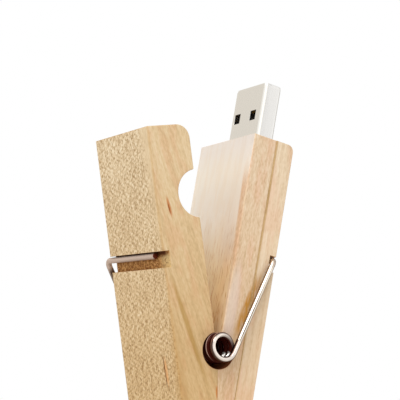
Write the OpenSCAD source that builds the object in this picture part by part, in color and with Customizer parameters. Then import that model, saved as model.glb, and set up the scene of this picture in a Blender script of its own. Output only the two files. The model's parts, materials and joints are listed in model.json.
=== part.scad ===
// Wooden spring clothespin with a USB flash drive built into one leg, squeezed open.
// Sizes are millimetres. +Z runs up the middle plane between the legs, +X is the side
// of the drive leg and -Y is the front. The pin stands on its handle ends at z = 0.

/* [Legs] */
// Width of each leg
leg_w = 22; // [18:0.5:27]
// Thickness of each leg
leg_t = 10.4; // [9.8:0.1:13]
// Length of the jaws, from the coil axis to the top
jaw_l = 48.7; // [45:0.1:60]
// Length of the handles, from the coil axis to the bottom
handle_l = 42; // [30:0.5:50]
// Angle between the legs when the handles are squeezed
open_deg = 20; // [14:1:22]
// Gap from the coil axis to each jaw face
jaw_gap = 0.22; // [0.15:0.01:0.4]
// Gap from the middle plane to each squeezed handle
handle_gap = 0.12; // [0.05:0.01:0.2]

/* [Clip leg] */
// Radius of the clothesline notch
notch_r = 5.2; // [3:0.1:6.5]
// Height of the notch centre above the coil axis
notch_z = 33.7; // [28:0.1:38]
// Distance of the notch centre out from the jaw face
notch_out = 0.6; // [0:0.1:2]
// Rounding of the inner top corner
clip_tip_r = 3; // [1:0.1:4]

/* [Drive leg] */
// Rounding of the outer top corner
drive_tip_r = 1.5; // [0.5:0.1:2]
// Distance from the jaw face to the glue seam
seam_in = 5.9; // [5:0.05:7]
// Thickness of the glue film in the seam
glue_t = 0.15; // [0.05:0.01:0.3]
// Clearance between the pocket and the circuit
pocket_clear = 0.3; // [0.1:0.05:0.5]
// Thickness of the foam tape under the memory chip
foam_t = 0.8; // [0.4:0.1:1.5]

/* [Spring] */
// Diameter of the wire
wire_d = 1.35; // [1:0.05:1.6]
// Radius of the coil at the middle of the wire
coil_r = 2.5; // [2.2:0.05:3.2]
// Gap between turns that the coil is wound as near to as whole turns allow
coil_gap = 0.55; // [0.5:0.05:1.5]
// Clearance all round between a centred coil and its bed in the legs
coil_clear = 0.75; // [0.65:0.05:0.9]
// Height that the arms draw the coil up in its bed
coil_lift = 0.6; // [0:0.05:0.6]
// Distance from the sides of the legs out to the middle of the end turns
coil_out = 2.3; // [1:0.1:3]
// Height of the middle of the wire groove above the coil axis
groove_z = 20.9; // [17:0.1:22]
// Width of the wire groove along the leg
groove_w = 3.5; // [2.5:0.1:4.5]
// Depth of the hook below the outer face of its leg
hook_sink = 0.1; // [0.05:0.01:0.3]
// Clearance between the hook and the floor of the groove
hook_clear = 0.1; // [0.05:0.01:0.2]
// Gap between the hook and the upper side of the groove
hook_gap = 0.35; // [0.1:0.05:0.5]
// Clearance between the front arm and the side of the drive leg, at the hook
arm_clear = 0.2; // [0.1:0.05:0.5]
// Clearance between the back arm and the side of the clip leg, at the hook
back_arm_clear = 1.9; // [0.1:0.05:2.2]
// Bend radius between an arm and its hook
bend_r = 1.5; // [1.2:0.1:2]
// Distance of each hook's cut end past the middle of its leg
hook_past = 6; // [0:0.1:8]

/* [Plug] */
// Width of the plug shell
plug_w = 12; // [11.9:0.05:12.1]
// Height of the plug shell
plug_h = 4.5; // [4.4:0.05:4.6]
// Length of the plug shell
plug_l = 18.75; // [17:0.05:20]
// Length of the plug outside the leg
plug_out = 13.9; // [11.75:0.05:15]
// Wall of the plug shell
shell_wall = 0.3; // [0.25:0.01:0.35]
// Corner radius of the plug shell
shell_corner = 0.64; // [0.5:0.01:0.8]
// Clearance between the shell and its slot, and inside the shell
plug_clear = 0.05; // [0.03:0.01:0.1]
// Width of each window in the shell
window_w = 2.2; // [2:0.05:2.6]
// Length of each window in the shell
window_l = 2.3; // [1.8:0.05:2.6]
// Distance between the window centres
window_pitch = 6.16; // [5:0.02:6.5]
// Distance that the windows lie off the middle, away from the front
window_shift = 0.5; // [-0.6:0.1:0.6]
// Distance from the tip of the plug to the window centres
window_from_tip = 7.2; // [5:0.1:9]
// Depth of the plug's mouth
mouth_l = 11; // [10:0.1:12]
// Distance that the tongue stops short of the tip
tongue_set = 0.6; // [0.3:0.05:1]
// Width of each contact
contact_w = 1; // [0.8:0.05:1.2]
// Thickness of each contact
contact_t = 0.25; // [0.2:0.01:0.3]
// Length of the contact tails and the shell tabs on the circuit board
tail_l = 2.3; // [1.8:0.1:3]

/* [Circuit] */
// Width of the circuit board
board_w = 15; // [14.6:0.1:17]
// Length of the circuit board
board_l = 29; // [28:0.5:35]
// Thickness of the circuit board
board_t = 1; // [0.8:0.1:1.2]
// Width of the memory chip
flash_w = 12; // [10:0.1:13]
// Length of the memory chip between its rows of leads
flash_l = 18.4; // [14:0.1:19]
// Distance from the plug's end of the board to the memory chip
flash_from_plug = 6.7; // [6.2:0.1:8]
// Thickness of the memory chip
flash_t = 1; // [0.8:0.05:1.2]
// Leads in each row of the memory chip
flash_leads = 24; // [16:1:24]
// Side of the square controller chip
control_w = 7; // [5:0.1:7.5]
// Distance from the plug's end of the board to the controller chip
control_from_plug = 6; // [4.5:0.1:6.5]
// Thickness of the controller chip
control_t = 1; // [0.8:0.05:1.1]
// Leads on each side of the controller chip
control_leads = 12; // [8:1:12]
// Distance between neighbouring leads
lead_pitch = 0.5; // [0.4:0.05:0.5]
// Width of each lead
lead_w = 0.22; // [0.16:0.02:0.26]
// Thickness of each lead
lead_t = 0.13; // [0.1:0.01:0.16]
// Distance that each lead reaches out from its chip
lead_out = 0.8; // [0.6:0.05:1]
// Gap under each chip
chip_lift = 0.05; // [0.03:0.01:0.08]
// Length of the crystal across the board
crystal_w = 5; // [3.2:0.1:5]
// Length of the crystal along the board
crystal_l = 3.2; // [2.5:0.1:3.4]
// Distance between the controller's leads and the crystal
crystal_space = 0.9; // [0.5:0.1:1]
// Height of the crystal's ceramic base
crystal_base_t = 0.5; // [0.3:0.05:0.6]
// Height of the crystal's metal lid
crystal_lid_t = 0.4; // [0.2:0.05:0.5]
// Length of each capacitor and resistor
chip_part_l = 1.6; // [1:0.1:1.8]
// Width of each capacitor and resistor
chip_part_w = 0.8; // [0.5:0.05:0.9]
// Height of each capacitor
capacitor_t = 0.8; // [0.5:0.05:0.9]
// Height of each resistor
resistor_t = 0.45; // [0.3:0.05:0.5]
// Length of the metal at each end of a capacitor or resistor
chip_end_l = 0.3; // [0.2:0.05:0.4]

/* [Hidden] */
$fn = 64;
// How far a cut runs past the face that it opens
cut = 1;

// Legs. Each is drawn upright beside the coil axis, x outward and z up, and then leant out.
lean = open_deg / 2;
outer_x = jaw_gap + leg_t;
pivot_z = outer_x * sin(lean) + handle_l * cos(lean);
groove_d = hook_clear + wire_d + hook_sink;
coil_bed_r = coil_r + wire_d / 2 + coil_clear;
seam_x = jaw_gap + seam_in;

// Plug and circuit, in the upright drive leg. The plug lies on the seam.
tip_z = jaw_l + plug_out;
rear_z = tip_z - plug_l;
// Gap between the shell and the board behind it, and between the shell and the insulator's end
shell_gap = 0.15;
board_x = seam_x + contact_t;
board_back_x = board_x + board_t;
board_z = rear_z - shell_gap;
tail_z = board_z - tail_l;
// Middles of the contacts, and how far the outer and inner ones stop from the tip
contact_ys = [-3.5, -1, 1, 3.5];
contact_stops = [1.5, 2.5, 2.5, 1.5];
tab_y = plug_w / 2 - shell_wall;
// How far the shell's tabs stand out on each side of the board
tab_reach = 0.6;
// Length of each drop of solder beyond its contact, and how far a tab's solder reaches in
solder_l = 0.5;
tab_solder_w = 0.8;
flash_z = board_z - flash_from_plug - flash_l / 2;
flash_top_x = board_x - chip_lift - flash_t;
// How far the foam tape stops inside the memory chip's edge
foam_inset = 1;
control_z = board_z - control_from_plug - control_w / 2;
crystal_z = control_z - control_w / 2 - lead_out - crystal_space - crystal_l / 2;
// How far the crystal's lid stops inside its base
lid_rim = 0.2;
// Share of a lead's reach where it turns down to the board
lead_knee = 0.4;
pocket_floor_x = flash_top_x - foam_t;
pocket_back_x = board_back_x + max(chip_lift + control_t, crystal_base_t + crystal_lid_t) + pocket_clear;
// Space beside the controller and the crystal to the middle of each capacitor
capacitor_space = 1.9;
// Distance of each pair of capacitors above and below the controller's middle
capacitor_step = 1.8;
capacitor_out = control_w / 2 + lead_out + capacitor_space;
load_capacitor_out = crystal_w / 2 + capacitor_space;
capacitor_places = [for (side = [-1, 1]) each [
    [side * capacitor_out, control_z + capacitor_step],
    [side * capacitor_out, control_z - capacitor_step],
    [side * load_capacitor_out, crystal_z]]];
// Distance between the resistors, and from the contacts' solder to their row
resistor_pitch = 3;
resistor_space = 0.6;
resistor_z = tail_z - solder_l - resistor_space - chip_part_w / 2;
resistor_places = [for (i = [-1.5 : 1.5]) [i * resistor_pitch, resistor_z]];

// Spring, about the coil axis. The back arm is a front arm turned half round.
// Sides of the wire's section
wire_sides = 6;
rings_per_turn = 8;
rings_per_bend = 5;
arm_y = leg_w / 2 + arm_clear + wire_d / 2;
back_arm_y = leg_w / 2 + back_arm_clear + wire_d / 2;
coil_y = leg_w / 2 + coil_out;
hook = lean_out([outer_x - hook_sink - wire_d / 2, 0, groove_z + (groove_w - wire_d) / 2 - hook_gap]);
coil_middle = [0, 0, coil_lift];
hook_rise = hook - coil_middle;
coil_end_deg = atan2(hook_rise.z, hook_rise.x) - acos(coil_r / norm(hook_rise));
arm_dir = unit(hook_rise - coil_r * [cos(coil_end_deg), 0, sin(coil_end_deg)]);
whole_turns = round((2 * coil_y / (wire_d + coil_gap) * 360 + 180 - 2 * coil_end_deg) / 360);
coil_deg = 360 * whole_turns - 180 + 2 * coil_end_deg;
coil_rings = round(coil_deg / 360 * rings_per_turn);
coil = [for (i = [0 : coil_rings])
    let (a = 180 - coil_end_deg + coil_deg * i / coil_rings)
    coil_middle + [coil_r * cos(a), coil_y - 2 * coil_y * i / coil_rings, coil_r * sin(a)]];
back_arm = [for (p = reversed(arm(back_arm_y))) half_round(p)];
wire_path = concat(back_arm, coil, arm(arm_y));

// Front arm from its bend, y in front of the middle of the leg, to the cut end of its hook
function arm(y) =
    let (corner = hook - [0, y, 0])
    [for (i = [0 : rings_per_bend])
        let (a = 90 * i / rings_per_bend)
        corner + bend_r * ((sin(a) - 1) * arm_dir + [0, 1 - cos(a), 0]),
    hook + [0, hook_past - wire_d, 0],
    hook + [0, hook_past, 0]];
// List from its last item to its first
function reversed(list) = [for (i = [len(list) - 1 : -1 : 0]) list[i]];
// Unit vector along v
function unit(v) = v / norm(v);
// Point of the upright drive leg after it leans out about the coil axis
function lean_out(p) =
    [p.x * cos(lean) + p.z * sin(lean), p.y, p.z * cos(lean) - p.x * sin(lean)];
// Point turned half round about the vertical
function half_round(p) = [-p.x, -p.y, p.z];
// Part of n that is square to the direction t
function square_to(n, t) = unit(n - (n * t) * t);
// Inner face of the upright handle at height z, which stands vertical once the leg leans out
function handle_x(z) = (handle_gap - z * sin(lean)) / cos(lean);
// Path with the middle of each stretch added after its start
function with_middles(p) = [for (i = [0 : len(p) - 2]) each [p[i], (p[i] + p[i + 1]) / 2]];
// Distance along the path to each of its points
function run_to(p) = [for (i = 0, run = 0; i < len(p);
    run = run + norm(p[min(i + 1, len(p) - 1)] - p[i]), i = i + 1) run];
// Least distance between two points of the path that lie further apart along it than reach
function least_step(p, reach) =
    let (run = run_to(p))
    min([for (i = [0 : len(p) - 2], j = [i + 1 : len(p) - 1])
        if (run[j] - run[i] > reach) norm(p[i] - p[j])]);

wire_gap = least_step(with_middles(wire_path), PI * coil_r) - wire_d;
echo(str("least gap of the spring wire to itself: ", wire_gap, " mm"));

// Places children from the upright drive leg on the coil axis, leaning out to +X
module in_drive_leg() {
    translate([0, 0, pivot_z]) rotate([0, lean, 0]) children();
}

// Places children from the upright clip leg on the coil axis, leaning out to -X
module in_clip_leg() {
    mirror([1, 0, 0]) in_drive_leg() children();
}

// Box between two corners given as [x, y, z]
module box(low, high) {
    translate(low) cube(high - low);
}

// Box across the middle of the leg, w wide, from x0 to x1 and from z0 to z1
module mid_box(x0, x1, w, z0, z1) {
    box([x0, -w / 2, z0], [x1, w / 2, z1]);
}

// Extrudes a side view, drawn as x and z, to width w across the pin
module across(w) {
    rotate([90, 0, 0]) linear_extrude(w, center = true) children();
}

// What rounding takes off a corner at the origin, whose sides run along +x and +y
module corner_waste(r) {
    difference() {
        translate([-cut, -cut]) square(r + cut);
        translate([r, r]) circle(r);
    }
}

// Side view of a leg with its coil bed and wire groove
module leg_side(inner_r, outer_r) {
    knee_z = (handle_gap - jaw_gap * cos(lean)) / sin(lean);
    difference() {
        polygon([[jaw_gap, knee_z], [jaw_gap, jaw_l], [outer_x, jaw_l], [outer_x, -handle_l],
            [handle_x(-handle_l), -handle_l]]);
        circle(coil_bed_r);
        translate([outer_x - groove_d, groove_z - groove_w / 2]) square([groove_d + cut, groove_w]);
        if (inner_r > 0)
            translate([jaw_gap, jaw_l]) mirror([0, 1]) corner_waste(inner_r);
        if (outer_r > 0)
            translate([outer_x, jaw_l]) rotate(180) corner_waste(outer_r);
    }
}

module clip_leg() {
    color("burlywood") in_clip_leg() across(leg_w) difference() {
        leg_side(clip_tip_r, 0);
        translate([jaw_gap - notch_out, notch_z]) circle(notch_r);
    }
}

// Slice of the drive leg between two distances from the coil axis, hollowed for the drive
module drive_leg_slice(x0, x1) {
    pocket_w = board_w + 2 * pocket_clear;
    pocket_z = board_z - board_l - pocket_clear;
    slot_h = plug_h + 2 * plug_clear;
    in_drive_leg() difference() {
        across(leg_w) intersection() {
            leg_side(0, drive_tip_r);
            translate([x0, -handle_l - cut]) square([x1 - x0, handle_l + jaw_l + 2 * cut]);
        }
        mid_box(seam_x - slot_h / 2, seam_x + slot_h / 2, plug_w + 2 * plug_clear, rear_z - cut, jaw_l + cut);
        mid_box(pocket_floor_x, board_back_x + pocket_clear, pocket_w, pocket_z, rear_z);
        mid_box(seam_x, pocket_back_x, pocket_w, crystal_z - crystal_l / 2 - pocket_clear, rear_z);
    }
}

module drive_leg_inner_half() {
    color("tan") drive_leg_slice(0, seam_x - glue_t / 2);
}

module drive_leg_outer_half() {
    color("wheat") drive_leg_slice(seam_x + glue_t / 2, outer_x + cut);
}

module seam_glue() {
    color("saddlebrown") drive_leg_slice(seam_x - glue_t / 2, seam_x + glue_t / 2);
}

// Round wire of diameter d swept along the points of a path
module wire(path, d) {
    last = len(path) - 1;
    tangents = [for (i = [0 : last]) unit(path[min(i + 1, last)] - path[max(i - 1, 0)])];
    normals = [for (i = 0, n = square_to([1, 0, 0], tangents[0]); i <= last;
        n = square_to(n, tangents[min(i + 1, last)]), i = i + 1) n];
    points = [for (i = [0 : last], k = [0 : wire_sides - 1])
        let (a = 360 * k / wire_sides)
        path[i] + d / 2 * (cos(a) * normals[i] + sin(a) * cross(tangents[i], normals[i]))];
    sides = [for (i = [0 : last - 1], k = [0 : wire_sides - 1])
        let (a = i * wire_sides + k)
        let (b = i * wire_sides + (k + 1) % wire_sides)
        each [[a, a + wire_sides, b], [b, a + wire_sides, b + wire_sides]]];
    caps = [for (k = [1 : wire_sides - 2])
        let (end = last * wire_sides)
        each [[0, k, k + 1], [end, end + k + 1, end + k]]];
    polyhedron(points, concat(sides, caps));
}

module torsion_spring() {
    color("silver") translate([0, 0, pivot_z]) wire(wire_path, wire_d);
}

// Cross-section of the plug taken in by inset all round, drawn as thickness and width
module plug_section(inset) {
    h = plug_h - 2 * inset;
    w = plug_w - 2 * inset;
    r = shell_corner - inset;
    square([h - 2 * r, w], center = true);
    square([h, w - 2 * r], center = true);
    for (sx = [-1, 1], sy = [-1, 1])
        translate([sx * (h / 2 - r), sy * (w / 2 - r)]) circle(r);
}

module plug_shell() {
    color("lightgray") in_drive_leg() {
        translate([seam_x, 0, rear_z]) difference() {
            linear_extrude(plug_l) difference() {
                plug_section(0);
                plug_section(shell_wall);
            }
            for (side = [-1, 1])
                translate([0, window_shift + side * window_pitch / 2, plug_l - window_from_tip])
                    cube([plug_h + cut, window_w, window_l], center = true);
        }
        for (side = [0, 1])
            mirror([0, side, 0])
                box([board_x - tab_reach, tab_y, tail_z],
                    [board_back_x + tab_reach, plug_w / 2, rear_z]);
    }
}

module plug_insulator() {
    inside_h = plug_h - 2 * shell_wall - 2 * plug_clear;
    inside_w = plug_w - 2 * shell_wall - 2 * plug_clear;
    block_z = rear_z + shell_gap;
    color("dimgray") in_drive_leg() difference() {
        union() {
            translate([seam_x, 0, block_z])
                linear_extrude(tip_z - mouth_l - block_z) plug_section(shell_wall + plug_clear);
            intersection() {
                translate([seam_x, 0, block_z])
                    linear_extrude(tip_z - tongue_set - block_z) plug_section(shell_wall + plug_clear);
                mid_box(board_x, seam_x + inside_h, inside_w, block_z, tip_z);
            }
        }
        for (y = contact_ys)
            translate([0, y, 0]) mid_box(seam_x, board_x, contact_w, block_z - cut, tip_z);
    }
}

module plug_contacts() {
    color("gold") in_drive_leg() for (i = [0 : len(contact_ys) - 1])
        translate([0, contact_ys[i], 0])
            mid_box(seam_x, board_x, contact_w, tail_z, tip_z - contact_stops[i]);
}

module circuit_board() {
    color("seagreen") in_drive_leg() difference() {
        mid_box(board_x, board_back_x, board_w, board_z - board_l, board_z);
        for (side = [0, 1])
            mirror([0, side, 0])
                box([board_x - cut, tab_y - plug_clear, tail_z - plug_clear],
                    [board_back_x + cut, plug_w / 2 + plug_clear, board_z + cut]);
    }
}

// Gull-wing lead on the board, reaching along +z from a chip whose side stands at z = 0
// and from the board's face at x = 0 up along +x
module lead(chip_t) {
    waist = chip_lift + chip_t / 2;
    knee = lead_out * lead_knee;
    rotate([90, 0, 0]) linear_extrude(lead_w, center = true)
        polygon([[waist, 0], [waist + lead_t, 0], [waist + lead_t, knee], [lead_t, knee],
            [lead_t, lead_out], [0, lead_out], [0, knee - lead_t], [waist, knee - lead_t]]);
}

// Row of leads side by side along y
module lead_row(count, chip_t) {
    for (i = [0 : count - 1])
        translate([0, (i - (count - 1) / 2) * lead_pitch, 0]) lead(chip_t);
}

// Places children on the board's face towards the jaws, with +x away from the board
module on_front(y, z) {
    in_drive_leg() translate([board_x, y, z]) mirror([1, 0, 0]) children();
}

// Places children on the board's other face, with +x away from the board
module on_back(y, z) {
    in_drive_leg() translate([board_back_x, y, z]) children();
}

module flash_chip() {
    color("darkslategray") on_front(0, flash_z)
        mid_box(chip_lift, chip_lift + flash_t, flash_w, -flash_l / 2, flash_l / 2);
}

module flash_chip_leads() {
    color("silver") on_front(0, flash_z) for (turn = [0, 180])
        rotate([turn, 0, 0]) translate([0, 0, flash_l / 2]) lead_row(flash_leads, flash_t);
}

module controller_chip() {
    color("darkslategray") on_back(0, control_z)
        mid_box(chip_lift, chip_lift + control_t, control_w, -control_w / 2, control_w / 2);
}

module controller_leads() {
    color("silver") on_back(0, control_z) for (turn = [0 : 90 : 270])
        rotate([turn, 0, 0]) translate([0, 0, control_w / 2]) lead_row(control_leads, control_t);
}

module crystal_base() {
    color("linen") on_back(0, crystal_z)
        mid_box(0, crystal_base_t, crystal_w, -crystal_l / 2, crystal_l / 2);
}

module crystal_lid() {
    color("gainsboro") on_back(0, crystal_z)
        mid_box(crystal_base_t, crystal_base_t + crystal_lid_t, crystal_w - 2 * lid_rim,
            lid_rim - crystal_l / 2, crystal_l / 2 - lid_rim);
}

// Middle of a capacitor or resistor, lying along z
module chip_part_body(t) {
    mid_box(0, t, chip_part_w, chip_end_l - chip_part_l / 2, chip_part_l / 2 - chip_end_l);
}

// Metal at both ends of a capacitor or resistor, lying along z
module chip_part_ends(t) {
    for (turn = [0, 180])
        rotate([turn, 0, 0])
            mid_box(0, t, chip_part_w, chip_part_l / 2 - chip_end_l, chip_part_l / 2);
}

module capacitor_bodies() {
    color("peru") for (p = capacitor_places) on_back(p[0], p[1]) chip_part_body(capacitor_t);
}

module capacitor_ends() {
    color("silver") for (p = capacitor_places) on_back(p[0], p[1]) chip_part_ends(capacitor_t);
}

module resistor_bodies() {
    color("black") for (p = resistor_places)
        on_front(p[0], p[1]) rotate([90, 0, 0]) chip_part_body(resistor_t);
}

module resistor_ends() {
    color("silver") for (p = resistor_places)
        on_front(p[0], p[1]) rotate([90, 0, 0]) chip_part_ends(resistor_t);
}

module contact_solder() {
    color("lightsteelblue") in_drive_leg() for (y = contact_ys)
        translate([0, y, 0]) mid_box(seam_x, board_x, contact_w, tail_z - solder_l, tail_z);
}

module shell_solder() {
    color("lightsteelblue") in_drive_leg() for (side = [0, 1])
        mirror([0, side, 0])
            box([board_x - solder_l, tab_y - tab_solder_w, tail_z], [board_x, tab_y, board_z - solder_l]);
}

module foam_tape_pad() {
    color("whitesmoke") in_drive_leg()
        mid_box(pocket_floor_x, flash_top_x, flash_w - 2 * foam_inset,
            flash_z - flash_l / 2 + foam_inset, flash_z + flash_l / 2 - foam_inset);
}

clip_leg();
drive_leg_inner_half();
drive_leg_outer_half();
seam_glue();
torsion_spring();
plug_shell();
plug_insulator();
plug_contacts();
circuit_board();
flash_chip();
flash_chip_leads();
controller_chip();
controller_leads();
crystal_base();
crystal_lid();
capacitor_bodies();
capacitor_ends();
resistor_bodies();
resistor_ends();
contact_solder();
shell_solder();
foam_tape_pad();
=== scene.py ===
# %% [markdown]
# # A wooden clothespin with a flash drive in one leg
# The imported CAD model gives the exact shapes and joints. This lesson gives them the looks of the
# real thing: two sanded beech legs, a bright steel spring and a plated plug. It starts by
# loading the model as a fixed frame, and every new piece is made in that same frame, in metres.

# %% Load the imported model
import json
import math

import bmesh
import bpy
from mathutils import Matrix, Vector


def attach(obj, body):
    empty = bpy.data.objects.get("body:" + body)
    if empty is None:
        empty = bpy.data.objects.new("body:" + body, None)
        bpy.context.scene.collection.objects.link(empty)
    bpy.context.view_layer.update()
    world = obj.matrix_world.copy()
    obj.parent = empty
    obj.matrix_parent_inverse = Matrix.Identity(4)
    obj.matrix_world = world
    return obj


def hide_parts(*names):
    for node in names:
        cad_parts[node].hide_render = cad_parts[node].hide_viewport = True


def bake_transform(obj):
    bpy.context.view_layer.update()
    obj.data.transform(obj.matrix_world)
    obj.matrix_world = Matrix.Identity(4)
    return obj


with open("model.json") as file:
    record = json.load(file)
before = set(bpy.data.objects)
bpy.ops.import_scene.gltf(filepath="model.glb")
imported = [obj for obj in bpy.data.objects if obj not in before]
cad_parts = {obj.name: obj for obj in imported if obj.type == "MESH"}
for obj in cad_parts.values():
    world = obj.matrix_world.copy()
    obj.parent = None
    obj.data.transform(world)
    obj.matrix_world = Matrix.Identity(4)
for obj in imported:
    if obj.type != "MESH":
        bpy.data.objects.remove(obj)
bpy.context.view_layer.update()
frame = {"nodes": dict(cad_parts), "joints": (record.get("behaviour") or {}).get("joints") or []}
bpy.ops.object.select_all(action="DESELECT")

# %% [markdown]
# ## The upright leg
# Both legs lean out from the coil of the spring, which is also the hinge. A leg is easier to
# think about when it stands upright, so places are given in millimetres as "out" from the coil
# axis to the outer face, y across the pin (the front is at -y) and "up" along the leg.
# One helper turns such a place into the frame of the model.

# %% Places on a leg
MM = 0.001
LEAN = math.radians(10)
COIL_AXIS = Vector(frame["joints"][0]["pos_m"])
OUTWARD = {"drive_leg": 1, "clip_leg": -1}
LEG_HALF_W = 11
LEG_TOP = 48.7
LEG_OUTER = 10.62


def on_leg(leg, out, y, up):
    """Place in the model's frame, in metres, of a point of the upright leg in millimetres."""
    side = OUTWARD[leg]
    return COIL_AXIS + Matrix.Rotation(side * LEAN, 3, "Y") @ Vector((side * out, y, up)) * MM


print("outer top corner of the drive leg:", on_leg("drive_leg", LEG_OUTER, -LEG_HALF_W, LEG_TOP))

# %% [markdown]
# ## The camera
# The pin is seen from the front left and from a little below, through a long lens, so its
# edges stay nearly parallel. The place and the turn come from matching the corners of both
# legs and of the plug.

# %% Camera
CAMERA_PLACE = (-0.23011, -0.36556, 0.00758)
CAMERA_TURN = (99.1174, -1.0738, -32.5472)
LENS = 180
SENSOR_W = 36

camera_turn = [math.radians(degrees) for degrees in CAMERA_TURN]
bpy.ops.object.camera_add(location=CAMERA_PLACE, rotation=camera_turn)
camera = bpy.context.object
camera.name = "camera"
camera.data.lens = LENS
camera.data.sensor_width = SENSOR_W
bpy.context.scene.camera = camera
print("camera to coil:", round((camera.location - COIL_AXIS).length, 4), "m")

# %% [markdown]
# ## Tools of the bench
# Four short helpers do what a hand does between two operators: take one piece and nothing
# else, pick its points, edges or faces by a rule, apply a modifier, and shade the piece so that
# its rounds look round and its flats look flat.


# %% Helpers for modelling
def take(piece):
    """Select this piece alone and make it the active one."""
    bpy.ops.object.select_all(action="DESELECT")
    piece.select_set(True)
    bpy.context.view_layer.objects.active = piece


def pick(piece, kind, rule):
    """Select the verts, edges or faces for which rule(element) holds. Piece is in edit mode."""
    bpy.ops.mesh.select_mode(type={"verts": "VERT", "edges": "EDGE", "faces": "FACE"}[kind])
    bpy.ops.mesh.select_all(action="DESELECT")
    shape = bmesh.from_edit_mesh(piece.data)
    chosen = [element for element in getattr(shape, kind) if rule(element)]
    for element in chosen:
        element.select_set(True)
    shape.select_flush_mode()
    bmesh.update_edit_mesh(piece.data)
    return len(chosen)


def finish_with(piece, kind, **settings):
    """Add a modifier with these settings and apply it."""
    take(piece)
    modifier = piece.modifiers.new(kind.lower(), kind)
    for name, value in settings.items():
        setattr(modifier, name, value)
    bpy.ops.object.modifier_apply(modifier=modifier.name)


def show_round(piece, degrees=35):
    """Shade the piece smooth where its faces meet at a small angle, and keep broad faces flat."""
    take(piece)
    bpy.ops.object.shade_smooth_by_angle(angle=math.radians(degrees))
    finish_with(piece, "WEIGHTED_NORMAL", keep_sharp=True, weight=100)


print("helpers: take, pick, finish_with, show_round")

# %% [markdown]
# ## Sanded pieces
# A machine-cut leg has sharp arrises, and a pass of sandpaper takes them off. The legs could be
# cut from a cube with Booleans, but the CAD already holds their exact faces, so each wooden
# piece starts as a copy of them. Merging the loose triangles and dissolving the flat ones gives
# whole faces again. Every sharp edge then gets a weight that says how far it was eased, and one
# Bevel modifier rounds them all.

# %% Copy a CAD node and ease its edges
EASE = 0.5
SHARP = math.radians(30)
FLAT = math.radians(0.5)
MERGE = 0.002 * MM


def eased_copy(node_name, piece_name, ease_at):
    """Copy of a CAD node whose sharp edges are eased by ease_at(edge middle) millimetres."""
    piece = bpy.data.objects.new(piece_name, frame["nodes"][node_name].data.copy())
    bpy.context.scene.collection.objects.link(piece)
    take(piece)
    bpy.ops.object.mode_set(mode="EDIT")
    bpy.ops.mesh.select_all(action="SELECT")
    bpy.ops.mesh.remove_doubles(threshold=MERGE)
    bpy.ops.mesh.dissolve_limited(angle_limit=FLAT)
    shape = bmesh.from_edit_mesh(piece.data)
    weight = shape.edges.layers.float.new("bevel_weight_edge")
    for edge in shape.edges:
        if edge.calc_face_angle(0) > SHARP:
            edge[weight] = ease_at((edge.verts[0].co + edge.verts[1].co) / 2) / EASE
    bmesh.update_edit_mesh(piece.data)
    bpy.ops.object.mode_set(mode="OBJECT")
    finish_with(piece, "BEVEL", width=EASE * MM, limit_method="WEIGHT", segments=3)
    show_round(piece)
    print(piece_name, "has", len(piece.data.polygons), "faces")
    return piece


def in_leg(leg, place):
    """The (out, y, up) of a point of the model, in millimetres."""
    side = OUTWARD[leg]
    upright = Matrix.Rotation(-side * LEAN, 3, "Y") @ (place - COIL_AXIS) / MM
    return side * upright.x, upright.y, upright.z


print("helpers: eased_copy, in_leg")

# %% [markdown]
# ## The clip leg
# This is the plain leg: one piece of beech with a round notch for the line, half of the bed for
# the coil, and a groove across its outer face for the hook of the spring. Its long arrises are
# eased by a quarter to half a millimetre, and those of the sawn groove hardly at all. A rule
# says which edge is which by its place on the upright leg, so both legs can share it.

# %% Easing of a leg
GROOVE_UP = 20.9
GROOVE_HALF_W = 1.75
GROOVE_FLOOR = 9.07
BED_R = 3.925
LONG_EASE = 0.25
OUTER_EASE = 0.5
SAWN_EASE = 0.08
NEAR = 0.1
HANDLES_MEET = 8.62
LONG_EDGE_TOP = 47.7


def leg_ease(out, up):
    """Easing of an edge of a leg: little at the groove, at the bed and where the handles meet."""
    at_groove = abs(up - GROOVE_UP) < GROOVE_HALF_W + NEAR and out > GROOVE_FLOOR - NEAR
    at_bed = math.hypot(out, up) < BED_R + NEAR
    at_handles = up < 0 and out < HANDLES_MEET
    if at_groove or at_bed or at_handles:
        return SAWN_EASE
    return OUTER_EASE if out > LEG_OUTER - NEAR and up < LONG_EDGE_TOP else LONG_EASE


def clip_ease(place):
    """Easing of an edge of the clip leg."""
    out, _, up = in_leg("clip_leg", place)
    return leg_ease(out, up)


clip_leg = eased_copy("clip_leg", "clip_leg_wood", clip_ease)

# %% [markdown]
# Two things on a real pin are less exact than in the CAD. The handles are pressed together, so
# the faces where they meet are moved until they nearly touch. And the saw ran a little askew
# when it cut the grooves. A new Boolean cut could show that, but a groove only has corners at its
# two ends, so moving one end up the leg and the other down gives the same shape.

# %% Pressed handles and slanted grooves
HANDLE_PRESS = 0.105
PRESS_REACH = 0.35
BED_BOTTOM = 40
GROOVE_SLANT = {"clip_leg": 0.045, "drive_leg": -0.065}
GROOVE_RIM = 0.7
FLOOR_RIM = 0.3


def press_handles(piece, shift):
    """Move the faces where the handles meet, in millimetres along x, until they nearly touch."""
    take(piece)
    bpy.ops.object.mode_set(mode="EDIT")

    def at_meeting(vert):
        """True for a point of the face where the handles meet."""
        return abs(vert.co.x) < PRESS_REACH * MM and vert.co.z < BED_BOTTOM * MM

    moved = pick(piece, "verts", at_meeting)
    bpy.ops.transform.translate(value=(shift * MM, 0, 0))
    bpy.ops.object.mode_set(mode="OBJECT")
    print(piece.name, "handle verts moved:", moved)


def up_leg(leg):
    """One millimetre up the leg, in the model's frame."""
    return on_leg(leg, 0, 0, 1) - COIL_AXIS


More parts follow.
